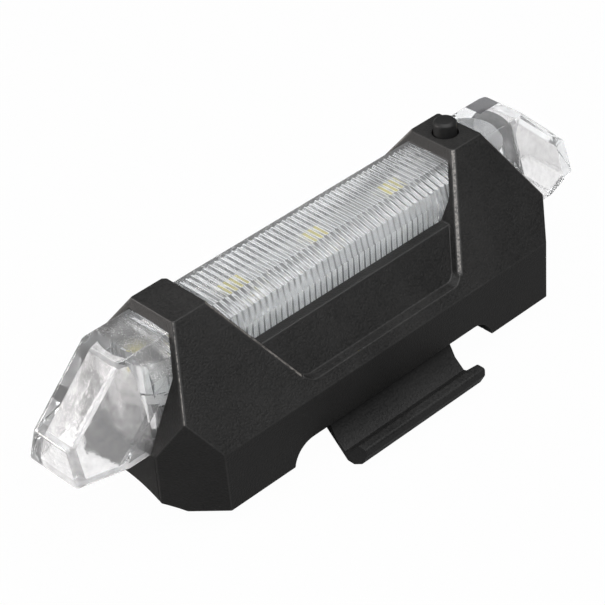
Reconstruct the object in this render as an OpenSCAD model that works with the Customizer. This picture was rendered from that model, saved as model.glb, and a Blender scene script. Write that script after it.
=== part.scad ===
// Rechargeable bicycle tail light with a ribbed one-piece lens, strap hooks and a seat-post saddle.
// Millimetres. X runs along the light, Z up. The light lies on its strap hooks at z = 0,
// and the heights below are measured from the housing's feet, which stand a little higher.

/* [Housing] */
// Height of the flat top above the feet
shell_h = 19.5; // [18.5:0.1:22]
// Half width of the flat top
top_half_w = 3.3; // [2.6:0.1:4.2]
// Half width at the waist, where the slope meets the side
waist_half_w = 11.4; // [11.2:0.1:13]
// Height of the waist above the feet
waist_z = 7.5; // [7:0.1:8.2]
// Outward draft of each side below the waist
side_draft = 0.1; // [0:0.05:0.4]
// Half length at the end faces
end_x = 29.55; // [29:0.05:31]
// Half length of the flat top at the lens rim
rim_top_x = 23.1; // [22.8:0.1:24]
// Lean of the lens rim from upright, degrees
rim_lean = 28; // [25:0.5:30]
// Half length of the straight side, up to the corner facet
corner_x = 24.6; // [23.6:0.1:25.4]
// Half width of the end face between the corner facets
end_half_w = 6.2; // [6:0.05:6.8]
// Wall of the housing
shell_wall = 1.4; // [1:0.1:1.8]
// Thickness of the two bridges above the lens
bridge_t = 1.1; // [0.8:0.1:1.6]

/* [Window] */
// Half length of the window at the top
window_top_x = 18.4; // [17.5:0.1:18.8]
// Lean of the window's end walls from upright, degrees
window_lean = 33; // [28:0.5:36]
// Height of the recess's lower edge above the feet
sill_z = 8.7; // [8.2:0.1:9.4]
// Depth of the recess in the slope
recess_depth = 1; // [0.6:0.1:1.2]
// Radius of the recess's lower corners
recess_r = 1.8; // [1:0.1:3]

/* [Lens] */
// Wall of the lens at its two noses
lens_wall = 1.5; // [1.3:0.05:1.6]
// Thickness of the lens above its hollow
lens_roof_t = 2.4; // [2.3:0.05:2.6]
// Half width of the hollow over the board, between the crests of its ribs
hollow_half_w = 3.5; // [3.4:0.05:3.55]
// Half width of the lens at its flat top
lens_top_half_w = 3.05; // [2.6:0.05:3.3]
// Half width of the lens below its bevels
lens_half_w = 5; // [4.7:0.05:5.2]
// Height of the two long bevels
bevel_h = 3.1; // [2.6:0.1:3.4]
// Height of the upright strip that shows below each bevel
strip_h = 2.1; // [1.8:0.1:2.4]
// Distance from one rib to the next
rib_pitch = 0.83; // [0.7:0.01:1.2]
// Depth of the ribs in the roof and walls of the hollow
rib_depth = 0.2; // [0.1:0.02:0.24]
// Half length of the ribbed stretch
rib_half_length = 25; // [20:0.1:25.4]
// Half length over the two tips
tip_x = 38; // [37:0.1:40]
// Half length of the lens's flat top
tip_top_x = 30.4; // [30:0.05:31.5]
// Half width of the tip's sloping face
tip_half_w = 2.85; // [2.6:0.05:3.2]
// Height of the tip's upright nose
nose_h = 4; // [3.4:0.1:5]
// Height of the tips' underside above the feet
tip_z = 7.15; // [6.8:0.05:7.4]
// Flare of the tip's side faces, degrees
tip_flare = 22; // [20:0.5:23]
// Half width of the lens tips low down, where their sides stand upright
tip_side_half_w = 5.3; // [5.2:0.05:5.4]
// Place of the axis of the hollow's rounded ends along the light
lamp_room_x = 24; // [23.9:0.05:24.1]

/* [Saddle and strap hooks] */
// Radius of the seat post that the saddle fits
saddle_r = 14; // [13:0.5:16]
// Height of the saddle's crown above the feet
saddle_h = 2.6; // [2.2:0.1:3]
// Thickness of the back cover
cover_t = 1.4; // [1.2:0.1:1.6]
// How far the hooks reach below the feet
hook_drop = 2; // [1.6:0.1:2.4]
// Half length of each hook
hook_half_l = 9.35; // [8:0.05:10.5]
// Reach of each hook from the middle of the light
hook_reach = 15.95; // [15.4:0.05:17]
// Thickness of the hook's arm
hook_t = 0.9; // [0.8:0.05:1.1]
// Width of the top of the hook's lip
lip_w = 1.1; // [0.9:0.05:1.3]
// Height of the lip above the feet
lip_z = 1; // [0.8:0.05:1.3]
// Half length of the skirt's notch at the feet
notch_half_l = 15.4; // [15:0.1:16]
// Height of the notch
notch_h = 2.45; // [2.2:0.05:2.6]
// Radius of the notch's upper corners
notch_r = 2.9; // [1.4:0.1:3.2]

/* [Button] */
// Place of the button along the light
button_x = 20.7; // [20.4:0.05:20.8]
// Diameter of the button
button_d = 2.7; // [2.6:0.05:2.9]
// Height that the button stands proud
button_proud = 1.6; // [1:0.1:2]
// Travel of the button
button_travel = 0.4; // [0.25:0.05:0.45]
// Gap around the button
button_gap = 0.16; // [0.1:0.02:0.3]

/* [Board and lamps] */
// Thickness of the circuit board
board_t = 1.2; // [0.8:0.1:1.2]
// Distance between the three middle lamps
lamp_pitch = 12; // [11:0.5:12.5]
// Place of the end lamps along the light
end_lamp_x = 25.6; // [25:0.1:25.6]
// Height of a lamp package
lamp_h = 1.9; // [1.4:0.1:2]
// Length of a lamp package across the board
lamp_l = 3.5; // [3:0.1:3.5]
// Width of a lamp package along the board
lamp_w = 2.8; // [2.4:0.1:2.8]
// Diameter of the yellow resin in a lamp
resin_d = 2.3; // [1.8:0.1:2.4]
// Side of the square switch under the button
switch_w = 4.5; // [4:0.1:5]
// Height of the switch without its plunger
switch_h = 2.3; // [2:0.1:2.4]

/* [Charging port] */
// Place of the charging port along the light
port_x = -19.5; // [-19.8:0.1:-19.2]
// Width of the port's steel shell
port_w = 7.5; // [7.4:0.05:7.6]
// Depth of the port's steel shell
port_d = 2.7; // [2.6:0.05:2.8]
// Thickness of the shell's sheet
port_sheet = 0.3; // [0.2:0.05:0.35]
// Half length of the pocket for the port's flap
pocket_half_l = 6.3; // [5.8:0.1:6.5]
// Half width of the pocket for the port's flap
pocket_half_w = 4.2; // [4:0.1:4.4]
// Depth of the pocket below the saddle's crown
pocket_depth = 0.8; // [0.7:0.05:1]
// Thickness of the flap's neck
neck_t = 0.6; // [0.5:0.05:0.7]
// Half width of the flap's neck
neck_half_w = 2; // [1.6:0.1:2.2]

/* [Battery] */
// Half length of the battery cell
cell_half_l = 14; // [13:0.1:14.2]
// Half width of the battery cell
cell_half_w = 7; // [6:0.1:7.2]
// Thickness of the battery cell
cell_t = 4.5; // [4:0.1:4.6]
// Height of the foam under the cell, above the saddle's crown wall
foam_t = 1.2; // [1:0.05:1.4]
// Diameter of a battery lead
lead_d = 1; // [0.8:0.05:1.2]
// Half distance between the two leads
lead_y = 2; // [1.6:0.1:2.2]

/* [Screws] */
// Place of the cover screws along the light
screw_x = 19; // [18.8:0.1:19.2]
// Distance of the cover screws in from the foot of the housing's side
screw_inset = 4.3; // [4.2:0.05:4.5]
// Diameter of a screw's shank
screw_d = 1.7; // [1.4:0.1:2]
// Diameter of a screw's head
screw_head_d = 3.1; // [2.8:0.1:3.2]
// Height of a screw's head
screw_head_h = 1.2; // [0.9:0.1:1.2]
// Length of a screw's shank
screw_l = 7; // [6:0.5:8]

/* [Hidden] */
$fn = 48;

far = 60;
fit = 0.05;
slip = 0.12;
skin = 0.01;
post_gap = 0.05;

// Heights of the section, from the feet
base_half_w = waist_half_w + side_draft;
lens_top_z = shell_h - bridge_t;
shoulder_z = lens_top_z - bevel_h;
ledge_z = shoulder_z - strip_h;
ledge_t = 1.1;
flange_top_z = ledge_z - ledge_t;
flange_t = 1.1;
flange_w = 1.1;
flange_half_l = 16.4;
board_drop = 0.8;
board_top_z = ledge_z - board_drop;
board_z = board_top_z - board_t;
ceiling_z = flange_top_z;
rim_bottom_z = shell_h - (end_x - rim_top_x) / tan(rim_lean);

// The hollow over the board, and the board's place under its edge
roof_z = lens_top_z - lens_roof_t;
lamp_room_r = hollow_half_w + rib_depth;
board_seat = 0.2;
board_r = lamp_room_r + board_seat - fit;
tip_root_x = lamp_room_x + 1;

// The back cover and its seat
cover_top_z = saddle_h + cover_t + 0.2;
seal_t = 0.8;
seal_w = 0.8;
seat_z = cover_top_z + seal_t;
plate_half_w = end_half_w - 0.25;
saddle_axis_z = saddle_h - saddle_r;
saddle_edge_y = sqrt(saddle_r * saddle_r - saddle_axis_z * saddle_axis_z);
pocket_z = saddle_h + pocket_depth;
platform_z = pocket_z + 1.2;
hinge_x = port_x - pocket_half_l - 0.8;
hinge_z = saddle_h + neck_t / 2;

// Room behind the flap's edge and at the anchor, which lets the flap swing down past them
flap_back = 0.52;
anchor_gap = neck_t / 2 + 0.3;
anchor_l = 1.8;
anchor_x = hinge_x - (anchor_l + anchor_gap) / 2;
anchor_stem_d = 0.9;
anchor_stem_top = saddle_h + neck_t + 2;

// The button's path from the top down
flange_d = button_d + 1.7;
button_flange_t = 0.4;
counterbore_z = lens_top_z - button_flange_t - button_travel - 2 * fit;
switch_top_z = board_top_z + switch_h;
plunger_d = 2;
plunger_h = 0.9;
plunger_top_z = switch_top_z + plunger_h;
stem_d = 2.3;

screw_y = base_half_w - screw_inset;
screw_seat_z = saddle_h + 0.1;
boss_d = 3.7;
cover_boss_d = 4.7;
cell_z = saddle_h + cover_t + foam_t;

// Places and sizes of the parts under the board
chip_h = 1;
driver_x = -9;
driver_l = 4.9;
driver_w = 3.9;
charger_x = 5;
charger_l = 2.9;
charger_w = 1.6;
resistor_x = -3.5;
resistor_y = -1.6;
resistor_pitch = 1.7;
capacitor_x = 9;
capacitor_pitch = 2.2;

// Post that the cover holds the board up with
post_x = 22.5;
post_d = 2.6;

// Unit vector along v
function unit(v) = v / norm(v);

// Corner b of an outline, moved inwards by t, with a and c its neighbours
function inset_corner(a, b, c, t) =
    let (u = unit(b - a), v = unit(c - b), nu = [-u[1], u[0]], nv = [-v[1], v[0]])
    b + t * (nu + nv) / (1 + nu * nv);

// Outline, listed anticlockwise, with every edge moved inwards by t
function inset(p, t) = [
    for (i = [0 : len(p) - 1])
        inset_corner(p[(i + len(p) - 1) % len(p)], p[i], p[(i + 1) % len(p)], t)
];

// Points of an arc about c, from angle a0 to a1
function arc(c, r, a0, a1, steps = 12) = [
    for (i = [0 : steps]) c + r * [cos(a0 + (a1 - a0) * i / steps), sin(a0 + (a1 - a0) * i / steps)]
];

// Right half of an outline, listed upwards, with its mirror image
function both_sides(half) = concat(half, [for (i = [len(half) - 1 : -1 : 0]) [-half[i][0], half[i][1]]]);

// Outline of the housing across the light, from a given lowest height
function section_outline(low) = both_sides([
    [base_half_w, low], [waist_half_w, waist_z], [top_half_w, shell_h]
]);

// Outline of the housing from the side
function side_outline(low) = both_sides([
    [end_x, low], [end_x, rim_bottom_z], [rim_top_x, shell_h]
]);

// Outline of the housing from above
plan_outline = [
    [end_x, -end_half_w], [end_x, end_half_w], [corner_x, base_half_w], [-corner_x, base_half_w],
    [-end_x, end_half_w], [-end_x, -end_half_w], [-corner_x, -base_half_w], [corner_x, -base_half_w]
];

// Stands a piece on the strap hooks
module stand() {
    translate([0, 0, hook_drop]) children();
}

// Outline across the light, drawn out along X
module along_x(length) {
    rotate([90, 0, 90]) linear_extrude(height = length, center = true) children();
}

// Outline from the side, drawn out along Y
module along_y(length) {
    rotate([90, 0, 0]) linear_extrude(height = length, center = true) children();
}

// Outline from above, drawn up from z0 to z1
module upright(z0, z1) {
    translate([0, 0, z0]) linear_extrude(height = z1 - z0) children();
}

// Both ends or both sides of the light
module mirrored(axis) {
    children();
    mirror(axis) children();
}

// Faceted block of the housing, with every face moved inwards by t
module housing_block(t, low) {
    intersection() {
        along_x(2 * far) polygon(inset(section_outline(low - t), t));
        along_y(2 * far) polygon(inset(side_outline(low - t), t));
        upright(low, far) polygon(inset(plan_outline, t));
    }
}

// Round channel that a seat post leaves in the underside
module saddle_cut(r) {
    translate([0, 0, saddle_axis_z]) rotate([0, 90, 0])
        cylinder(r = r, h = 2 * far, center = true, $fn = 96);
}

// Notches that let the strap out on both sides, from half width y outwards
module notch_cut(y) {
    corner = [notch_half_l - notch_r, notch_h - notch_r];
    mirrored([0, 1, 0])
        translate([0, y + far / 2, 0])
            along_y(far) polygon(both_sides(concat([[notch_half_l, -far]], arc(corner, notch_r, 0, 90))));
}

// Middle bar of the lens, moved outwards by g, down to height low
module lens_bar(g, low) {
    along_x(2 * (lamp_room_x + lamp_room_r)) polygon(inset(both_sides([
        [lens_half_w, low - g], [lens_half_w, shoulder_z], [lens_top_half_w, lens_top_z]
    ]), -g));
}

// Flange along both sides of the bar, under the housing's ledge
module lens_flange() {
    translate([0, 0, flange_top_z - flange_t / 2])
        cube([2 * flange_half_l, 2 * (lens_half_w + flange_w), flange_t], center = true);
}

// Faceted tip of the lens at the +X end, with every face moved inwards by t, down to height low
module lens_tip(t, low) {
    nose_top = [tip_x - 0.25, tip_z + nose_h];
    slope_angle = atan2(lens_top_z - nose_top[1], nose_top[0] - tip_top_x);
    bevel_reach = (tip_side_half_w - lens_top_half_w) / (lens_half_w - lens_top_half_w);
    bevel_foot = [tip_side_half_w, lens_top_z - bevel_reach * bevel_h];
    intersection() {
        along_y(2 * far) polygon(inset([
            [tip_root_x - t, low - t], [tip_x, low - t], nose_top, [tip_top_x, lens_top_z],
            [tip_root_x - t, lens_top_z]
        ], t));
        along_x(2 * far) polygon(inset(both_sides([
            [bevel_foot[0], low - t - 1], bevel_foot, [lens_top_half_w, lens_top_z]
        ]), t));
        flared_sides(slope_angle, t);
    }
}

// Space between the tip's two flared side faces, each moved inwards by t
module flared_sides(slope_angle, t) {
    intersection_for(side = [-1, 1])
        translate([tip_top_x, side * tip_half_w, lens_top_z])
            rotate([0, slope_angle, 0])
                rotate([side * tip_flare, 0, 0])
                    translate([-far, side > 0 ? -far - t : t, -far]) cube([2 * far, far, 2 * far]);
}

// Envelope of the lens, moved outwards by g
module lens_outer(g) {
    lens_bar(g, flange_top_z - flange_t);
    mirrored([1, 0, 0]) lens_tip(-g, tip_z);
}

// Everything below a face at 0 that zigzags up by rib_depth along the ribbed stretch
module ribbed_face() {
    n = floor(rib_half_length / rib_pitch);
    zigzag = [for (i = [-n : n - 1]) each [[i * rib_pitch, 0], [(i + 0.5) * rib_pitch, rib_depth]]];
    linear_extrude(height = far, center = true) polygon(concat(
        [[-far, -far / 2], [-far, 0]], zigzag, [[n * rib_pitch, 0], [far, 0], [far, -far / 2]]
    ));
}

// Long outline from above, of half width r, with round ends
module round_ended(r) {
    polygon(both_sides(arc([lamp_room_x, 0], r, -90, 90, 16)));
}

// Hollow over the board: ribbed roof, ribbed walls and a smooth round room at each end
module ribbed_hollow() {
    intersection() {
        translate([0, 0, roof_z]) rotate([90, 0, 0]) ribbed_face();
        between_walls() ribbed_face();
        upright(board_top_z - skin, far) round_ended(lamp_room_r);
    }
}

// Space between two upright walls, each drawn facing +Y
module between_walls() {
    intersection_for(side = [0, 1])
        mirror([0, side, 0]) translate([0, hollow_half_w, 0]) children();
}

// Open-bottomed hollow of the +X nose, in front of the lamp room's round wall
module nose_hollow() {
    nose_start_x = end_x - 1.1;
    difference() {
        intersection() {
            lens_tip(lens_wall, -far / 2);
            translate([nose_start_x, -far, -far]) cube([far, 2 * far, 2 * far]);
        }
        translate([lamp_room_x, 0, -far]) cylinder(r = lamp_room_r + lens_wall, h = 2 * far);
    }
}

// One clear moulding: smooth bar with a ribbed hollow, flange and two faceted tips
module lens() {
    stand() color([0.9, 0.93, 0.95, 0.45]) difference() {
        union() {
            lens_outer(0);
            lens_flange();
        }
        ribbed_hollow();
        upright(-far, board_top_z) round_ended(lamp_room_r + board_seat);
        mirrored([1, 0, 0]) nose_hollow();
        translate([button_x, 0, counterbore_z]) cylinder(d = flange_d + 2 * slip, h = far);
        translate([button_x, 0, 0]) cylinder(d = stem_d + 2 * slip, h = far);
    }
}

// Faceted upper shell with the window, the two bridges and the notched skirt
module housing() {
    stand() color([0.13, 0.13, 0.14]) difference() {
        union() {
            difference() {
                housing_block(0, 0);
                cover_bay(0);
                core_hollow();
            }
            screw_bosses();
        }
        lens_outer(fit);
        window_cut();
        notch_cut(saddle_edge_y);
        saddle_cut(saddle_r);
        end_slots();
        translate([button_x, 0, 0]) cylinder(d = button_d + 2 * button_gap, h = far);
        each_screw() translate([0, 0, cover_top_z - skin]) cylinder(d = screw_d + 2 * fit, h = screw_l);
    }
}

// Room for the back cover inside the skirt
module cover_bay(gap) {
    upright(-far, seat_z) polygon(inset(plan_outline, shell_wall + gap));
}

// Room for the cell and the board above the cover's seat
module core_hollow() {
    intersection() {
        housing_block(shell_wall, -far / 2);
        upright(seat_z - skin, ceiling_z) polygon(inset(plan_outline, shell_wall + seal_w));
    }
}

// Slots through the end walls, which the cover's end plates close
module end_slots() {
    mirrored([1, 0, 0])
        translate([end_x - 3, -plate_half_w, -far]) cube([far, 2 * plate_half_w, far + tip_z]);
}

// Trapezoid recess in both slopes, cut right through above the ledge
module window_cut() {
    difference() {
        along_y(2 * far) window_outline();
        intersection() {
            along_x(2 * far) polygon(inset(section_outline(-far), recess_depth));
            upright(-far, ledge_z) square(2 * far, center = true);
        }
    }
}

// Outline of the window from the side, with round lower corners
module window_outline() {
    over = 2;
    sill_x = window_top_x - (shell_h - sill_z) * tan(window_lean);
    // The corner's arc touches both the sill and the leaning wall
    corner = [sill_x - recess_r * (1 - sin(window_lean)) / cos(window_lean), sill_z + recess_r];
    polygon(both_sides(concat(
        arc(corner, recess_r, -90, -window_lean),
        [[window_top_x + over * tan(window_lean), shell_h + over]]
    )));
}

// Puts a piece at each of the four cover screws
module each_screw() {
    for (x = [-screw_x, screw_x], y = [-screw_y, screw_y]) translate([x, y, 0]) children();
}

// Bosses that the cover screws bite into
module screw_bosses() {
    intersection() {
        each_screw() translate([0, 0, cover_top_z])
            cylinder(d = boss_d, h = ceiling_z - cover_top_z + skin);
        housing_block(shell_wall / 2, -far / 2);
    }
}

// Curved back cover with its rim, end plates, hooks and port platform
module back_cover() {
    stand() color([0.12, 0.12, 0.13]) difference() {
        union() {
            intersection() {
                union() {
                    cover_shell();
                    cover_rim();
                    hook_beam();
                    port_platform();
                    each_screw() cylinder(d = cover_boss_d, h = cover_top_z);
                }
                cover_bay(fit);
                upright(0, far) square(2 * far, center = true);
            }
            end_plates();
            strap_hooks();
            translate([post_x, 0, saddle_h]) cylinder(d = post_d, h = board_z - saddle_h - post_gap);
        }
        saddle_cut(saddle_r);
        difference() {
            notch_cut(saddle_edge_y);
            strap_hooks();
        }
        each_screw() {
            translate([0, 0, -far]) cylinder(d = screw_head_d + 0.4, h = far + screw_seat_z);
            cylinder(d = screw_d + 0.3, h = far);
        }
        port_pocket();
    }
}

// Arched wall over the saddle
module cover_shell() {
    intersection() {
        saddle_cut(saddle_r + cover_t);
        upright(0, far) square(2 * far, center = true);
    }
}

// Upright rim that presses the seal
module cover_rim() {
    difference() {
        upright(0, cover_top_z) polygon(inset(plan_outline, shell_wall));
        upright(-skin, far) polygon(inset(plan_outline, shell_wall + seal_w + 0.4));
    }
}

// Thick stretch of the rim that carries the hooks
module hook_beam() {
    beam_w = 1.2;
    mirrored([0, 1, 0])
        translate([-notch_half_l - 1, saddle_edge_y - beam_w, 0])
            cube([2 * notch_half_l + 2, far, cover_top_z]);
}

// End walls that rise into the housing's end slots, under the lens tips
module end_plates() {
    mirrored([1, 0, 0])
        translate([end_x - shell_wall - 1, -plate_half_w, 0])
            cube([shell_wall + 1, 2 * plate_half_w, tip_z]);
}

// Outline of one hook, listed from the root outwards and back
function hook_outline() = let (
    toe_z = -hook_drop,
    lip_y = hook_reach - lip_w,
    trough_z = -0.85,
    trough_y = hook_reach - 3.2,
    arm_y = base_half_w - 0.8
) [
    [saddle_edge_y - 0.3, notch_h],
    [saddle_edge_y - 0.3, notch_h - 1.3],
    [arm_y - hook_t, notch_h - 1.3],
    [trough_y + 0.3, toe_z],
    [trough_y + 1.3, toe_z],
    [hook_reach - 0.7, -1.3],
    [hook_reach, 0],
    [hook_reach, lip_z - 0.2],
    [hook_reach - 0.2, lip_z],
    [lip_y, lip_z],
    [trough_y + 0.45, trough_z + 0.15],
    [trough_y, trough_z],
    [base_half_w, 0.25],
    [arm_y, notch_h - 0.7],
    [arm_y - 0.3, notch_h]
];

// Hooks that the rubber strap pulls on
module strap_hooks() {
    mirrored([0, 1, 0]) along_x(2 * hook_half_l) polygon(hook_outline());
}

// Platform around the charging port, inside the cover
module port_platform() {
    translate([port_x, 0, platform_z / 2])
        cube([2 * pocket_half_l + 2, 2 * pocket_half_w + 2, platform_z], center = true);
}

// Pocket for the flap, the hole for the port and the seat of the flap's anchor
module port_pocket() {
    r = 1;
    upright(-far, pocket_z) translate([port_x, 0]) rounded(pocket_half_l, pocket_half_w, r);
    translate([port_x, 0, platform_z / 2])
        cube([port_w + 2 * fit, port_d + 2 * fit, 2 * platform_z], center = true);
    upright(-far, saddle_h + neck_t + slip)
        translate([hinge_x - anchor_l - slip, -neck_half_w - slip])
            square([anchor_l + pocket_half_l, 2 * (neck_half_w + slip)]);
    translate([anchor_x, 0, 0]) cylinder(d = anchor_stem_d + 2 * fit, h = anchor_stem_top + slip);
}

// Rectangle with round corners
module rounded(half_l, half_w, r) {
    square([2 * half_l, 2 * (half_w - r)], center = true);
    square([2 * (half_l - r), 2 * half_w], center = true);
    for (x = [r - half_l, half_l - r], y = [r - half_w, half_w - r]) translate([x, y]) circle(r = r);
}

// Two silicone strips pressed between the cover's rim and the housing's side walls
module cover_seals() {
    stand() color([0.3, 0.3, 0.32]) difference() {
        upright(cover_top_z, seat_z) polygon(inset(plan_outline, shell_wall + fit));
        upright(-far, far) polygon(inset(plan_outline, shell_wall + seal_w));
        end_slots();
    }
}

// Round button with a flange trapped under the bridge
module power_button() {
    edge = 0.3;
    proud_z = shell_h + button_proud;
    stand() color([0.1, 0.1, 0.11]) translate([button_x, 0, 0]) rotate_extrude($fn = 64) polygon([
        [0, plunger_top_z + skin],
        [stem_d / 2, plunger_top_z + skin],
        [stem_d / 2, lens_top_z - button_flange_t - fit],
        [flange_d / 2, lens_top_z - button_flange_t - fit],
        [flange_d / 2, lens_top_z - fit],
        [button_d / 2, lens_top_z - fit],
        [button_d / 2, proud_z - edge],
        [button_d / 2 - edge, proud_z],
        [0, proud_z + 0.1]
    ]);
}

// Plunger of the switch, pushed by the button's stem
module switch_plunger() {
    stand() color([0.2, 0.2, 0.2]) translate([button_x, 0, switch_top_z - button_travel - 0.1])
        cylinder(d = plunger_d, h = plunger_h + button_travel + 0.1);
}

// Square switch soldered to the board
module switch_body() {
    stand() color([0.75, 0.75, 0.76]) difference() {
        translate([button_x, 0, board_top_z + switch_h / 2])
            cube([switch_w, switch_w, switch_h], center = true);
        translate([button_x, 0, switch_top_z - 2 * button_travel - 0.2])
            cylinder(d = plunger_d + 0.1, h = far);
    }
}

// Long narrow board with rounded ends
module circuit_board() {
    stand() color([0.93, 0.93, 0.9]) upright(board_z, board_top_z) round_ended(board_r);
}

// One lamp package with a round well for its resin
module lamp() {
    well = 0.5;
    difference() {
        translate([0, 0, board_top_z + lamp_h / 2]) cube([lamp_w, lamp_l, lamp_h], center = true);
        translate([0, 0, board_top_z + lamp_h - well]) cylinder(d = resin_d, h = far);
    }
}

// Three lamps under the ribbed window
module middle_lamps() {
    stand() color([0.95, 0.95, 0.92]) for (i = [-1 : 1]) translate([i * lamp_pitch, 0, 0]) lamp();
}

// One lamp behind each tip
module end_lamps() {
    stand() color([0.95, 0.95, 0.92]) for (side = [-1, 1]) translate([side * end_lamp_x, 0, 0]) lamp();
}

// Yellow resin in the five lamps
module lamp_resin() {
    resin_t = 0.45;
    places = concat([for (i = [-1 : 1]) i * lamp_pitch], [-end_lamp_x, end_lamp_x]);
    stand() color([0.95, 0.85, 0.25]) for (x = places)
        translate([x, 0, board_top_z + lamp_h - 0.5]) cylinder(d = resin_d, h = resin_t);
}

// Folded steel shell of the charging port, standing on its mouth
module port_shell() {
    stand() color([0.75, 0.76, 0.78]) difference() {
        upright(pocket_z, board_z) translate([port_x, 0]) rounded(port_w / 2, port_d / 2, 0.5);
        upright(pocket_z - skin, board_z - 1)
            translate([port_x, 0]) rounded(port_w / 2 - port_sheet, port_d / 2 - port_sheet, 0.35);
    }
}

// Tongue with the port's contacts
module port_tongue() {
    tongue_w = 3.7;
    tongue_t = 0.6;
    tongue_back = 1.2;
    stand() color([0.15, 0.15, 0.15])
        upright(pocket_z + tongue_back, board_z - 1)
            translate([port_x, 0]) square([tongue_w, tongue_t], center = true);
}

// Soft flap over the port, bending at its neck
module port_flap() {
    plug_h = 0.9;
    plug_w = 6.2;
    plug_d = 1.4;
    stand() color([0.11, 0.11, 0.12]) difference() {
        union() {
            upright(-far / 4, pocket_z - slip)
                translate([port_x + (flap_back - slip) / 2, 0])
                    rounded(pocket_half_l - (flap_back + slip) / 2, pocket_half_w - slip, 1);
            upright(pocket_z - 2 * slip, pocket_z + plug_h)
                translate([port_x, 0]) square([plug_w, plug_d], center = true);
            upright(-far / 4, saddle_h + neck_t)
                translate([hinge_x, -neck_half_w]) square([pocket_half_l / 2, 2 * neck_half_w]);
            translate([hinge_x, 0, hinge_z]) rotate([90, 0, 0])
                cylinder(d = neck_t, h = 2 * neck_half_w, center = true);
        }
        saddle_cut(saddle_r);
    }
}

// Fixed end of the flap, pressed into the cover by its stem
module flap_anchor() {
    stand() color([0.11, 0.11, 0.12]) {
        difference() {
            upright(0, saddle_h + neck_t + slip)
                translate([hinge_x - anchor_l, -neck_half_w])
                    square([anchor_l - anchor_gap, 2 * neck_half_w]);
            saddle_cut(saddle_r);
        }
        translate([anchor_x, 0, saddle_h + neck_t])
            cylinder(d = anchor_stem_d, h = anchor_stem_top - saddle_h - neck_t);
    }
}

// Flat pouch cell
module battery_cell() {
    edge_r = 0.8;
    stand() color([0.72, 0.73, 0.75]) translate([0, 0, cell_z + cell_t / 2])
        along_x(2 * cell_half_l) rounded(cell_half_w, cell_t / 2, edge_r);
}

// Foam strip that beds the cell on the arched cover
module battery_foam() {
    foam_half_w = 4;
    foam_start = -9;
    foam_end = 12;
    stand() color([0.35, 0.35, 0.36]) difference() {
        translate([foam_start, -foam_half_w, saddle_h])
            cube([foam_end - foam_start, 2 * foam_half_w, cell_z - saddle_h]);
        saddle_cut(saddle_r + cover_t);
    }
}

// Lead from the cell's end face, round a bend and up to the board
module lead(y) {
    bend_r = 1.6;
    from_z = cell_z + cell_t / 2;
    stand() translate([cell_half_l, y, from_z]) {
        rotate([0, 90, 0]) cylinder(d = lead_d, h = 0.5);
        translate([0.5, 0, bend_r]) rotate([90, 0, 0]) rotate([0, 0, -90])
            rotate_extrude(angle = 90) translate([bend_r, 0]) circle(d = lead_d, $fn = 24);
        translate([0.5 + bend_r, 0, bend_r]) cylinder(d = lead_d, h = board_z - from_z - bend_r);
    }
}

// Positive lead
module lead_red() {
    color([0.75, 0.1, 0.08]) lead(lead_y);
}

// Negative lead
module lead_black() {
    color([0.08, 0.08, 0.08]) lead(-lead_y);
}

// Packaged chip under the board, with a row of legs on both sides
module chip(x, length, width, legs) {
    leg_pitch = 0.95;
    leg_w = 0.4;
    leg_reach = 0.6;
    leg_t = 0.25;
    translate([x, 0, board_z - chip_h / 2]) cube([length, width, chip_h], center = true);
    for (i = [0 : legs - 1])
        translate([x + (i - (legs - 1) / 2) * leg_pitch, 0, board_z - leg_t / 2])
            cube([leg_w, width + 2 * leg_reach, leg_t], center = true);
}

// Chip that flashes the lamps
module driver_chip() {
    stand() color([0.08, 0.08, 0.09]) chip(driver_x, driver_l, driver_w, 4);
}

// Chip that charges the cell
module charger_chip() {
    stand() color([0.08, 0.08, 0.09]) chip(charger_x, charger_l, charger_w, 3);
}

// Small block parts under the board: a row of equal size from x0, a given pitch apart
module block_parts(x0, pitch, count, y, size) {
    for (i = [0 : count - 1])
        translate([x0 + i * pitch, y, board_z - size[2] / 2]) cube(size, center = true);
}

// Row of lamp resistors
module resistors() {
    stand() color([0.1, 0.1, 0.1]) block_parts(resistor_x, resistor_pitch, 4, resistor_y, [0.8, 1.6, 0.45]);
}

// Two buffer capacitors
module capacitors() {
    stand() color([0.6, 0.45, 0.3]) block_parts(capacitor_x, capacitor_pitch, 2, 0, [1.25, 2, 0.9]);
}

// Four screws that hold the back cover
module cover_screws() {
    slot_d = 1.2;
    slot_h = 0.6;
    stand() color([0.7, 0.71, 0.73]) each_screw() difference() {
        union() {
            translate([0, 0, screw_seat_z - screw_head_h]) cylinder(d = screw_head_d, h = screw_head_h);
            translate([0, 0, screw_seat_z - skin]) cylinder(d = screw_d, h = screw_l);
        }
        translate([0, 0, screw_seat_z - screw_head_h - skin]) {
            translate([-slot_d, -slot_h / 4, 0]) cube([2 * slot_d, slot_h / 2, slot_h]);
            translate([-slot_h / 4, -slot_d, 0]) cube([slot_h / 2, 2 * slot_d, slot_h]);
        }
    }
}

housing();
back_cover();
cover_seals();
lens();
power_button();
switch_plunger();
switch_body();
circuit_board();
middle_lamps();
end_lamps();
lamp_resin();
port_shell();
port_tongue();
port_flap();
flap_anchor();
battery_cell();
battery_foam();
lead_red();
lead_black();
driver_chip();
charger_chip();
resistors();
capacitors();
cover_screws();
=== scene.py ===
import math

import bmesh
import bpy
from mathutils import Matrix, Vector
from mathutils.bvhtree import BVHTree


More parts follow.
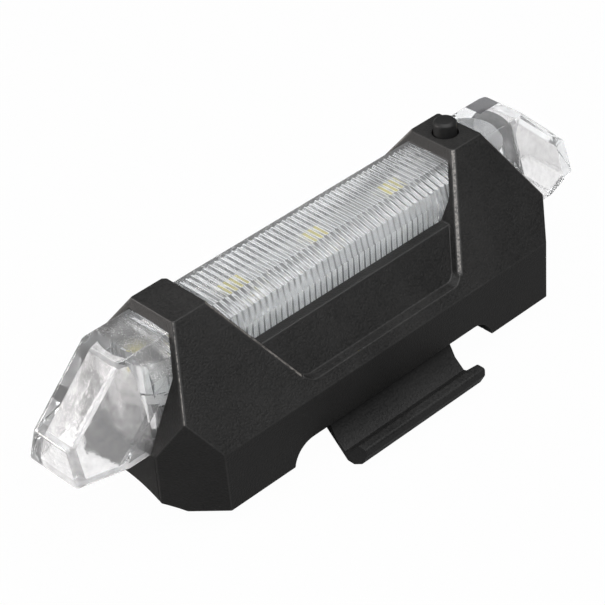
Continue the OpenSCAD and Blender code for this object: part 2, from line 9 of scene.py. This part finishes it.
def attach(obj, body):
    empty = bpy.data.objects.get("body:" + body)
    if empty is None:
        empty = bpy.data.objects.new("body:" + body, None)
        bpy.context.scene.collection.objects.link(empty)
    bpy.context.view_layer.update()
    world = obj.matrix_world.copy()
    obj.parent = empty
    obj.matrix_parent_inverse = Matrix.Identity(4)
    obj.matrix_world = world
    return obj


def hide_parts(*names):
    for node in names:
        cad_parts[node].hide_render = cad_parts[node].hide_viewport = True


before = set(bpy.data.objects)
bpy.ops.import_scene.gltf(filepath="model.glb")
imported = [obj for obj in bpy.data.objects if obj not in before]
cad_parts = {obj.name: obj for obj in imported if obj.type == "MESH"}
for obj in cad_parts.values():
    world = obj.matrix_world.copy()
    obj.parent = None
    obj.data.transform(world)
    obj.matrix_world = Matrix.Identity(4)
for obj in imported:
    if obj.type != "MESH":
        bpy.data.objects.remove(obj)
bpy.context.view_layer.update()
scene = bpy.context.scene
MM = 0.001

# --- Camera ---
# The light lies across the view from the lower left to the upper right, seen
# from above its near long side with a long lens.
azimuth, elevation, roll = math.radians(-41.743), math.radians(36.569), math.radians(-4.291)
distance = 263.02 * MM
side_shift, up_shift = -1.684 * MM, -2.076 * MM
aim = Vector((0, 0, 12 * MM))
level = math.cos(elevation)
back = Vector((math.sin(azimuth) * level, -math.cos(azimuth) * level, math.sin(elevation)))
level_right = Vector((math.cos(azimuth), math.sin(azimuth), 0))
level_up = back.cross(level_right)
view_right = level_right * math.cos(roll) + level_up * math.sin(roll)
view_up = level_up * math.cos(roll) - level_right * math.sin(roll)
stand_at = aim + view_right * side_shift + view_up * up_shift + back * distance
camera_data = bpy.data.cameras.new("camera")
camera_data.sensor_width = 36
camera_data.lens = 143.34
camera_data.clip_start = 10 * MM
camera = bpy.data.objects.new("camera", camera_data)
turn = Matrix((view_right, view_up, back)).transposed().to_4x4()
camera.matrix_world = Matrix.Translation(stand_at) @ turn
scene.collection.objects.link(camera)
scene.camera = camera

# --- Studio ---
# A white sweep in a bright room, under one large soft box. A smaller one stands low
# beyond the left end, on the far side, and rakes over the faces turned that way.
scene.view_settings.view_transform = "Standard"
scene.cycles.max_bounces = 24
scene.cycles.transmission_bounces = 24
scene.cycles.glossy_bounces = 8


def seen_directly(nodes, links):
    """1 for what the camera sees, also through clear plastic."""
    path = nodes.new("ShaderNodeLightPath")
    either = nodes.new("ShaderNodeMath")
    either.operation = "MAXIMUM"
    links.new(path.outputs["Is Camera Ray"], either.inputs[0])
    links.new(path.outputs["Is Transmission Ray"], either.inputs[1])
    return either.outputs[0]


room = bpy.data.worlds.new("room")
scene.world = room
room.use_nodes = True
room_nodes, room_links = room.node_tree.nodes, room.node_tree.links
room_nodes.clear()
room_out = room_nodes.new("ShaderNodeOutputWorld")
room_mix = room_nodes.new("ShaderNodeMixShader")
room_light = room_nodes.new("ShaderNodeBackground")
room_light.inputs["Color"].default_value = (0.94, 0.97, 1, 1)
room_light.inputs["Strength"].default_value = 0.17
room_white = room_nodes.new("ShaderNodeBackground")
room_white.inputs["Color"].default_value = (1, 1, 1, 1)
room_white.inputs["Strength"].default_value = 1
room_links.new(seen_directly(room_nodes, room_links), room_mix.inputs[0])
room_links.new(room_light.outputs[0], room_mix.inputs[1])
room_links.new(room_white.outputs[0], room_mix.inputs[2])
room_links.new(room_mix.outputs[0], room_out.inputs[0])


def soft_box(name, place_mm, size_mm, watts, colour):
    """A rectangular soft box that faces the middle of the light."""
    data = bpy.data.lights.new(name, "AREA")
    data.color = colour
    data.shape = "RECTANGLE"
    data.size, data.size_y = size_mm[0] * MM, size_mm[1] * MM
    data.energy = watts
    lamp = bpy.data.objects.new(name, data)
    place = Vector(place_mm) * MM
    middle = Vector((0, 0, 10)) * MM
    lamp.location = place
    lamp.rotation_euler = (middle - place).to_track_quat("-Z", "Y").to_euler()
    scene.collection.objects.link(lamp)


soft_box("overhead_box", (-40, -120, 420), (600, 600), 5, (1, 1, 1))
soft_box("left_box", (-366, 325, 115), (240, 200), 2.6, (1, 0.95, 0.92))

floor_half = 1500 * MM
floor_corners = [
    (x * floor_half, y * floor_half, 0) for x, y in ((-1, -1), (1, -1), (1, 1), (-1, 1))
]
floor_mesh = bpy.data.meshes.new("floor")
floor_mesh.from_pydata(floor_corners, [], [(0, 1, 2, 3)])
floor = bpy.data.objects.new("floor", floor_mesh)
scene.collection.objects.link(floor)
white_share = 0.98
paper = bpy.data.materials.new("white_paper")
paper.use_nodes = True
paper_nodes, paper_links = paper.node_tree.nodes, paper.node_tree.links
paper_nodes.clear()
paper_out = paper_nodes.new("ShaderNodeOutputMaterial")
paper_matt = paper_nodes.new("ShaderNodeBsdfDiffuse")
paper_matt.inputs["Color"].default_value = (0.3, 0.3, 0.3, 1)
paper_glow = paper_nodes.new("ShaderNodeEmission")
paper_glow.inputs["Strength"].default_value = 1
paper_share = paper_nodes.new("ShaderNodeMath")
paper_share.operation = "MULTIPLY"
paper_share.inputs[1].default_value = white_share
paper_mix = paper_nodes.new("ShaderNodeMixShader")
paper_links.new(seen_directly(paper_nodes, paper_links), paper_share.inputs[0])
paper_links.new(paper_share.outputs[0], paper_mix.inputs[0])
paper_links.new(paper_matt.outputs[0], paper_mix.inputs[1])
paper_links.new(paper_glow.outputs[0], paper_mix.inputs[2])
paper_links.new(paper_mix.outputs[0], paper_out.inputs[0])
floor_mesh.materials.append(paper)


# --- Housing ---
# The upper shell is moulded from black plastic in a spark-eroded tool, so its faces
# are matt with a fine even grain. Narrow flats are cut along the upright edges of its
# bridges, and their colour holds a painted highlight of bright speckles. It drops
# over the lens and is screwed to the back cover.
def new_finish(name, colour, roughness, specular=0.5):
    """A material with one Principled shader."""
    finish = bpy.data.materials.new(name)
    finish.use_nodes = True
    shader = finish.node_tree.nodes["Principled BSDF"]
    shader.inputs["Base Color"].default_value = (*colour, 1)
    shader.inputs["Roughness"].default_value = roughness
    shader.inputs["Specular IOR Level"].default_value = specular
    return finish, shader


def noise(tree, size_mm, detail):
    """Noise whose lumps are about size_mm across, fixed to the piece."""
    place = tree.nodes.new("ShaderNodeTexCoord")
    lumps = tree.nodes.new("ShaderNodeTexNoise")
    lumps.inputs["Scale"].default_value = 1 / (size_mm * MM)
    lumps.inputs["Detail"].default_value = detail
    tree.links.new(place.outputs["Object"], lumps.inputs["Vector"])
    return lumps.outputs["Fac"]


def add_bump(shader, height, depth_mm, strength):
    """Raises and sinks the surface by depth_mm."""
    tree = shader.id_data
    bump = tree.nodes.new("ShaderNodeBump")
    bump.inputs["Distance"].default_value = depth_mm * MM
    bump.inputs["Strength"].default_value = strength
    tree.links.new(height, bump.inputs["Height"])
    tree.links.new(bump.outputs[0], shader.inputs["Normal"])


def add_grain(shader, grain_mm, depth_mm, dark, light, rough, strength=0.6, drift_mm=9):
    """Fine grain in the bump and the colour, and gloss that drifts from place to place."""
    grain_share = 0.6
    low, high = 0.35, 0.65
    tree = shader.id_data
    grain = noise(tree, grain_mm, detail=3)
    drift = noise(tree, drift_mm, detail=4)
    blend = tree.nodes.new("ShaderNodeMix")
    blend.data_type = "FLOAT"
    blend.inputs[0].default_value = grain_share
    tree.links.new(drift, blend.inputs[2])
    tree.links.new(grain, blend.inputs[3])
    colours = tree.nodes.new("ShaderNodeValToRGB")
    for stop, place, colour in zip(colours.color_ramp.elements, (low, high), (dark, light)):
        stop.position = place
        stop.color = (*colour, 1)
    tree.links.new(blend.outputs[0], colours.inputs[0])
    tree.links.new(colours.outputs[0], shader.inputs["Base Color"])
    gloss = tree.nodes.new("ShaderNodeMapRange")
    gloss.inputs["From Min"].default_value = low
    gloss.inputs["From Max"].default_value = high
    gloss.inputs["To Min"].default_value = rough[0]
    gloss.inputs["To Max"].default_value = rough[1]
    tree.links.new(blend.outputs[0], gloss.inputs["Value"])
    tree.links.new(gloss.outputs[0], shader.inputs["Roughness"])
    add_bump(shader, grain, depth_mm, strength)


def dress(node, finish):
    """Gives a CAD node its finish."""
    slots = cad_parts[node].data.materials
    slots.clear()
    slots.append(finish)


weld_reach = 0.02 * MM
flat_angle = math.radians(0.6)


def welded(node):
    """The node's own mesh as a bmesh, with its corners joined."""
    form = bmesh.new()
    form.from_mesh(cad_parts[node].data)
    bmesh.ops.remove_doubles(form, verts=form.verts, dist=weld_reach)
    return form


def whole_faced(node):
    """The node's own mesh as a bmesh, with its triangles joined into whole faces."""
    form = welded(node)
    bmesh.ops.dissolve_limit(form, angle_limit=flat_angle, verts=form.verts, edges=form.edges)
    return form


def break_edges(form, edges, width, slot_number):
    """Cuts one narrow flat along each of the edges."""
    bmesh.ops.bevel(
        form, geom=edges, offset=width, offset_type="OFFSET", segments=1, profile=0.5,
        affect="EDGES", material=slot_number
    )


def moulded(form, name, node, body, finishes, edge_mm, steps, sharp_deg=24, edge_slot=-1):
    """A piece with the form's mesh, which stands for the node, its edges rounded by edge_mm."""
    mesh = bpy.data.meshes.new(name)
    form.to_mesh(mesh)
    if mesh.has_custom_normals:
        mesh.attributes.remove(mesh.attributes["custom_normal"])
    for finish in finishes:
        mesh.materials.append(finish)
    mesh.shade_smooth()
    piece = bpy.data.objects.new(name, mesh)
    scene.collection.objects.link(piece)
    weighted = form.edges.layers.float.get("bevel_weight_edge")
    form.free()
    rounding = piece.modifiers.new("rounding", "BEVEL")
    rounding.width = edge_mm * MM
    rounding.segments = steps
    rounding.material = edge_slot
    rounding.limit_method = "WEIGHT" if weighted else "ANGLE"
    rounding.angle_limit = math.radians(sharp_deg)
    rounding.use_clamp_overlap = False
    rounded = piece.evaluated_get(bpy.context.evaluated_depsgraph_get())
    piece.data = bpy.data.meshes.new_from_object(rounded)
    piece.modifiers.clear()
    piece.data.set_sharp_from_angle(angle=math.radians(sharp_deg))
    flat_faces = piece.modifiers.new("flat_faces", "WEIGHTED_NORMAL")
    flat_faces.keep_sharp = True
    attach(piece, body)
    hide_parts(node)


shell_finish, shell_shader = new_finish("black_shell", (0.009, 0.0088, 0.0086), 0.55, 0.22)
add_grain(
    shell_shader, 0.22, 0.08, (0.004, 0.0039, 0.0038), (0.015, 0.0146, 0.0142), (0.42, 0.66),
    strength=1
)
# Painted highlight: bright speckles in the colour of the rim flats stand in for the glint a lamp
# leaves on these edges.
rim_highlight_finish, rim_highlight_shader = new_finish("painted_rim_highlight", (0.03, 0.029, 0.028), 0.4, 0.5)
add_grain(
    rim_highlight_shader, 0.3, 0.08, (0.002, 0.002, 0.0018), (0.165, 0.153, 0.142), (0.3, 0.5),
    strength=1, drift_mm=0.6
)
# Painted sheen: the rounded edges are coloured a little lighter than the shell, in place of the
# light they catch.
painted_sheen_finish, painted_sheen_shader = new_finish("painted_edge_sheen", (0.015, 0.015, 0.015), 0.5, 0.3)
add_grain(
    painted_sheen_shader, 0.25, 0.03, (0.007, 0.0068, 0.0066), (0.02, 0.0195, 0.019), (0.42, 0.58)
)
rim_highlight_slot, painted_sheen_slot = 1, 2
square_on, leaning = 0.8, 0.4
tip_rim_width, window_rim_width = 0.2 * MM, 0.34 * MM
shell_form = whole_faced("housing")
tip_rims, window_rims = [], []
for edge in shell_form.edges:
    turned = [face.normal for face in edge.link_faces]
    corner = all(max(abs(n[axis]) for n in turned) > square_on for axis in (0, 1))
    if corner and min(n.z for n in turned) > leaning and edge.is_convex:
        end_turn = max((n.x for n in turned), key=abs)
        outwards = end_turn * edge.verts[0].co.x > 0
        (tip_rims if outwards else window_rims).append(edge)
break_edges(shell_form, tip_rims, tip_rim_width, rim_highlight_slot)
break_edges(shell_form, window_rims, window_rim_width, rim_highlight_slot)
shell_form.normal_update()
shell_finishes = [shell_finish, rim_highlight_finish, painted_sheen_finish]
moulded(
    shell_form, "housing_shell", "housing", "light", shell_finishes,
    edge_mm=0.1, steps=2, edge_slot=painted_sheen_slot
)

# --- Back cover ---
# The same black plastic: a saddle that fits the seat post, a rim that presses the
# seals, end plates under the lens tips and two long hooks for the rubber strap.
cover_finish, cover_shader = new_finish("black_cover", (0.009, 0.009, 0.009), 0.55, 0.22)
add_grain(
    cover_shader, 0.24, 0.05, (0.004, 0.004, 0.004), (0.014, 0.0138, 0.0135), (0.44, 0.62),
    strength=0.9
)
moulded(
    whole_faced("back_cover"), "cover_moulding", "back_cover", "light",
    [cover_finish], edge_mm=0.1, steps=2
)


# --- Lens ---
# One clear polycarbonate moulding, polished outside and ribbed in the hollow over
# the board. Its tool left it matt over the left end lamp and satin on part of the
# right tip's top. The housing holds it down by its flange.
def new_clear_finish(name, colour, roughness, clearness):
    """A finish that lets the share clearness of the light through."""
    finish, shader = new_finish(name, colour, roughness)
    shader.inputs["Transmission Weight"].default_value = clearness
    shader.inputs["IOR"].default_value = 1.5
    return finish, shader


clear_finish, clear_shader = new_clear_finish("clear_lens", (0.97, 0.98, 0.99), 0.02, 0.92)
add_grain(
    clear_shader, 1.5, 0.002, (0.96, 0.97, 0.98), (0.98, 0.99, 1), (0.012, 0.03),
    strength=0.4, drift_mm=6
)
matt_finish, matt_shader = new_clear_finish("frosted_lens", (0.9, 0.89, 0.88), 0.25, 0.88)
add_grain(
    matt_shader, 0.11, 0.06, (0.4, 0.4, 0.4), (0.94, 0.93, 0.92), (0.14, 0.3),
    strength=0.7, drift_mm=3
)
nose_finish, nose_shader = new_clear_finish("nose_hollow", (0.95, 0.94, 0.94), 0.14, 0.85)
add_grain(
    nose_shader, 0.7, 0.06, (0.66, 0.64, 0.64), (1, 0.98, 0.97), (0.06, 0.22),
    strength=0.5, drift_mm=2.5
)
tip_finish, tip_shader = new_clear_finish("rib_tips", (0.64, 0.655, 0.67), 0.35, 0.4)
tip_ripple = noise(tip_shader.id_data, size_mm=0.2, detail=2)
add_bump(tip_shader, tip_ripple, depth_mm=0.03, strength=0.6)
wall_finish, wall_shader = new_clear_finish("ribbed_walls", (0.94, 0.97, 1), 0.05, 0.84)
add_grain(
    wall_shader, 1.2, 0.003, (0.92, 0.95, 0.98), (0.96, 0.99, 1), (0.035, 0.065),
    strength=0.4, drift_mm=5
)
# The satin patch is also tinted dark grey and lets only part of the light through.
satin_finish, satin_shader = new_clear_finish("satin_patch", (0.1, 0.1, 0.105), 0.35, 0.6)
add_grain(
    satin_shader, 0.15, 0.01, (0.08, 0.08, 0.085), (0.12, 0.12, 0.125), (0.3, 0.4),
    strength=0.4, drift_mm=2
)
# Painted shade: the roof of the ribbed hollow is the walls' clear plastic tinted dark grey, so
# the top of the lens looks darker.
shaded_roof_finish, shaded_roof_shader = new_clear_finish("ribbed_roof_painted_shade", (0.33, 0.34, 0.35), 0.05, 0.84)
add_grain(
    shaded_roof_shader, 1.2, 0.003, (0.31, 0.32, 0.33), (0.35, 0.36, 0.37), (0.035, 0.065),
    strength=0.4, drift_mm=5
)
lens_finishes = [
    clear_finish, matt_finish, nose_finish, tip_finish, wall_finish, satin_finish, shaded_roof_finish
]
clear_slot, matt_slot, nose_slot, tip_slot, wall_slot, satin_slot, shaded_roof_slot = range(7)

matt_from_x, matt_to_x = -28.3, -24.75
satin_from_x, satin_to_x, satin_from_y = 27.2, 31.2, 0.7
along_x, along_y = Vector((1, 0, 0)), Vector((0, 1, 0))
lens_form = welded("lens")
for reach, way in (
    (matt_from_x, along_x), (matt_to_x, along_x), (satin_from_x, along_x), (satin_from_y, along_y)
):
    whole = lens_form.faces[:] + lens_form.edges[:] + lens_form.verts[:]
    bmesh.ops.bisect_plane(lens_form, geom=whole, plane_co=way * reach * MM, plane_no=way)
over_lamps_z, tip_top_z = 12, 18
tilted_up, level_up = 0.3, 0.99
for face in lens_form.faces:
    centre = face.calc_center_median() / MM
    faces_up = face.normal.z > tilted_up and centre.z > over_lamps_z
    if faces_up and matt_from_x < centre.x < matt_to_x:
        face.material_index = matt_slot
    on_tip_top = face.normal.z > level_up and centre.z > tip_top_z
    if on_tip_top and satin_from_x < centre.x < satin_to_x and centre.y > satin_from_y:
        face.material_index = satin_slot
bmesh.ops.dissolve_limit(
    lens_form, angle_limit=flat_angle, verts=lens_form.verts, edges=lens_form.edges,
    delimit={"MATERIAL"}
)

rib_end_x = 25.5 * MM
shortest_rib = 2 * MM
rib_bend = math.radians(20)
least_lean, most_lean = 0.1, 0.8
same_x = 0.01 * MM
rib_tip_width = 0.05 * MM
sliver = 0.005 * MM
rib_lines = []
for edge in lens_form.edges:
    one_x, other_x = (corner.co.x for corner in edge.verts)
    crosswise = abs(one_x - other_x) < same_x and abs(one_x) < rib_end_x
    leaning_flanks = all(least_lean < abs(f.normal.x) < most_lean for f in edge.link_faces)
    long_and_sharp = edge.calc_length() > shortest_rib and edge.calc_face_angle(0) > rib_bend
    if crosswise and leaning_flanks and long_and_sharp:
        rib_lines.append(edge)
break_edges(lens_form, rib_lines, rib_tip_width, tip_slot)
bmesh.ops.dissolve_degenerate(lens_form, dist=sliver, edges=lens_form.edges)
lens_form.normal_update()

lens_tree = BVHTree.FromBMesh(lens_form)
off_face, across_lens = 0.01 * MM, 25 * MM
nose_from_x = 28.3 * MM
bar_underside_z = 13.1 * MM
level_down, roof_down, tilted_down = -0.99, -0.5, -0.2
outside = {}
for face in lens_form.faces:
    centre, up = face.calc_center_median(), face.normal.z
    facing_wall = lens_tree.ray_cast(centre + face.normal * off_face, face.normal, across_lens)[0]
    faces_down = up < tilted_down and (up > level_down or centre.z > bar_underside_z)
    outside[face] = facing_wall is None and not faces_down
    if outside[face] or face.material_index != clear_slot:
        continue
    if abs(centre.x) > nose_from_x:
        face.material_index = nose_slot
    else:
        face.material_index = shaded_roof_slot if up < roof_down else wall_slot

nose_edges_from_x = 30.4 * MM
bar_edge_length = 20 * MM
outer_bend = math.radians(25)
end_facing, side_facing = 0.3, 0.6
fully_round, lightly_round, left_sharp = 1, 0.35, 0
rounded_edges = lens_form.edges.layers.float.new("bevel_weight_edge")
for edge in lens_form.edges:
    on_outside = all(outside[face] for face in edge.link_faces)
    if not on_outside or edge.calc_face_angle(0) <= outer_bend:
        continue
    flatter, steeper = sorted(abs(face.normal.y) for face in edge.link_faces)
    middle_x = (edge.verts[0].co.x + edge.verts[1].co.x) / 2
    nose_corner = flatter < end_facing and steeper > side_facing and edge.is_convex
    if nose_corner and abs(middle_x) > nose_edges_from_x:
        edge[rounded_edges] = fully_round
    else:
        long_edge = edge.calc_length() > bar_edge_length
        edge[rounded_edges] = left_sharp if long_edge else lightly_round
moulded(
    lens_form, "lens_moulding", "lens", "light", lens_finishes,
    edge_mm=0.45, steps=4, sharp_deg=14
)

# --- Board and lamps ---
# A white lacquered board is pushed up against two rails in the lens. Five lamp
# packages with yellow resin stand on it: one in each tip and three under the ribs,
# whose resin also covers the rims of their wells.
board_finish, board_shader = new_finish("white_board", (0.54, 0.54, 0.53), 0.4)
add_grain(board_shader, 0.6, 0.005, (0.48, 0.48, 0.47), (0.58, 0.58, 0.57), (0.35, 0.5))
dress("circuit_board", board_finish)
lamp_finish, lamp_shader = new_finish("lamp_white", (0.9, 0.9, 0.87), 0.35)
add_grain(lamp_shader, 0.4, 0.003, (0.86, 0.86, 0.83), (0.93, 0.93, 0.9), (0.3, 0.4))
dress("middle_lamps", lamp_finish)
dress("end_lamps", lamp_finish)
resin_finish, resin_shader = new_finish("lamp_yellow", (0.95, 0.8, 0.08), 0.2)
add_grain(resin_shader, 0.3, 0.003, (0.92, 0.75, 0.04), (0.98, 0.87, 0.12), (0.15, 0.3))
dress("lamp_resin", resin_finish)
lamp_slot, resin_slot = 0, 1
middle_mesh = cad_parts["middle_lamps"].data
middle_mesh.materials.append(resin_finish)
for face in middle_mesh.polygons:
    on_top = face.normal.z > 0.9
    face.material_index = resin_slot if on_top else lamp_slot

# --- Button ---
# A satin black button stands in its hole in the right bridge. Its flange is
# trapped under the bridge, and its stem rests on the switch's plunger.
button_finish, button_shader = new_finish("black_button", (0.008, 0.008, 0.008), 0.45, 0.22)
add_grain(button_shader, 0.25, 0.01, (0.006, 0.006, 0.006), (0.01, 0.01, 0.01), (0.4, 0.5))
moulded(
    whole_faced("power_button"), "button_cap", "power_button", "button",
    [button_finish], edge_mm=0.12, steps=3
)

# --- Switch ---
# The tactile switch under the button is soldered to the board: a plated steel can
# with a nylon plunger.
steel_finish, steel_shader = new_finish("steel_sheet", (0.6, 0.6, 0.61), 0.3)
steel_shader.inputs["Metallic"].default_value = 1
add_grain(steel_shader, 0.15, 0.002, (0.52, 0.52, 0.53), (0.66, 0.66, 0.67), (0.25, 0.42))
dress("switch_body", steel_finish)
nylon_finish, nylon_shader = new_finish("black_nylon", (0.03, 0.03, 0.03), 0.5)
add_grain(nylon_shader, 0.2, 0.005, (0.024, 0.024, 0.024), (0.036, 0.036, 0.036), (0.45, 0.6))
dress("switch_plunger", nylon_finish)

# --- Charging port and its flap ---
# A folded steel shell stands on the board with its mouth in the saddle. A soft
# black flap closes it and hangs on a neck whose stem is pressed into the cover.
dress("port_shell", steel_finish)
dress("port_tongue", nylon_finish)
rubber_finish, rubber_shader = new_finish("black_rubber", (0.02, 0.02, 0.02), 0.7, 0.3)
add_grain(rubber_shader, 0.3, 0.015, (0.014, 0.014, 0.014), (0.026, 0.026, 0.026), (0.62, 0.8))
moulded(
    whole_faced("port_flap"), "flap_moulding", "port_flap", "flap",
    [rubber_finish], edge_mm=0.1, steps=2
)
dress("flap_anchor", rubber_finish)

# --- Battery ---
# A flat pouch cell in pale foil lies on a strip of foam, and its two leads rise
# to the board.
foil_finish, foil_shader = new_finish("cell_foil", (0.62, 0.63, 0.65), 0.35)
foil_shader.inputs["Metallic"].default_value = 1
add_grain(foil_shader, 0.9, 0.03, (0.55, 0.56, 0.58), (0.68, 0.69, 0.71), (0.28, 0.45))
dress("battery_cell", foil_finish)
foam_finish, foam_shader = new_finish("foam", (0.1, 0.1, 0.1), 0.9, 0.2)
add_grain(foam_shader, 0.4, 0.1, (0.06, 0.06, 0.06), (0.14, 0.14, 0.14), (0.85, 0.98))
dress("battery_foam", foam_finish)
for lead, dark, light in (
    ("lead_red", (0.42, 0.02, 0.015), (0.55, 0.035, 0.025)),
    ("lead_black", (0.015, 0.015, 0.015), (0.03, 0.03, 0.03)),
):
    sleeve_finish, sleeve_shader = new_finish(lead, light, 0.45)
    add_grain(sleeve_shader, 0.3, 0.005, dark, light, (0.4, 0.55))
    dress(lead, sleeve_finish)

# --- Parts under the board ---
# Two moulded chips, a row of resistors and two ceramic capacitors are soldered to
# the underside of the board.
chip_finish, chip_shader = new_finish("chip_black", (0.025, 0.025, 0.027), 0.55)
add_grain(chip_shader, 0.12, 0.006, (0.018, 0.018, 0.02), (0.034, 0.034, 0.036), (0.5, 0.65))
for chip in ("driver_chip", "charger_chip", "resistors"):
    dress(chip, chip_finish)
ceramic_finish, ceramic_shader = new_finish("capacitor_brown", (0.4, 0.26, 0.15), 0.4)
add_grain(ceramic_shader, 0.2, 0.003, (0.34, 0.21, 0.12), (0.46, 0.31, 0.19), (0.35, 0.5))
dress("capacitors", ceramic_finish)

# --- Seals and screws ---
# Two grey silicone strips lie between the cover's rim and the housing, and four
# plated cross-head screws pull the cover up against them.
silicone_finish, silicone_shader = new_finish("silicone", (0.2, 0.2, 0.21), 0.55)
add_grain(silicone_shader, 0.4, 0.005, (0.17, 0.17, 0.18), (0.23, 0.23, 0.24), (0.5, 0.62))
dress("cover_seals", silicone_finish)
screw_finish, screw_shader = new_finish("screw_steel", (0.5, 0.5, 0.51), 0.3)
screw_shader.inputs["Metallic"].default_value = 1
add_grain(screw_shader, 0.1, 0.003, (0.42, 0.42, 0.43), (0.58, 0.58, 0.59), (0.25, 0.4))
dress("cover_screws", screw_finish)
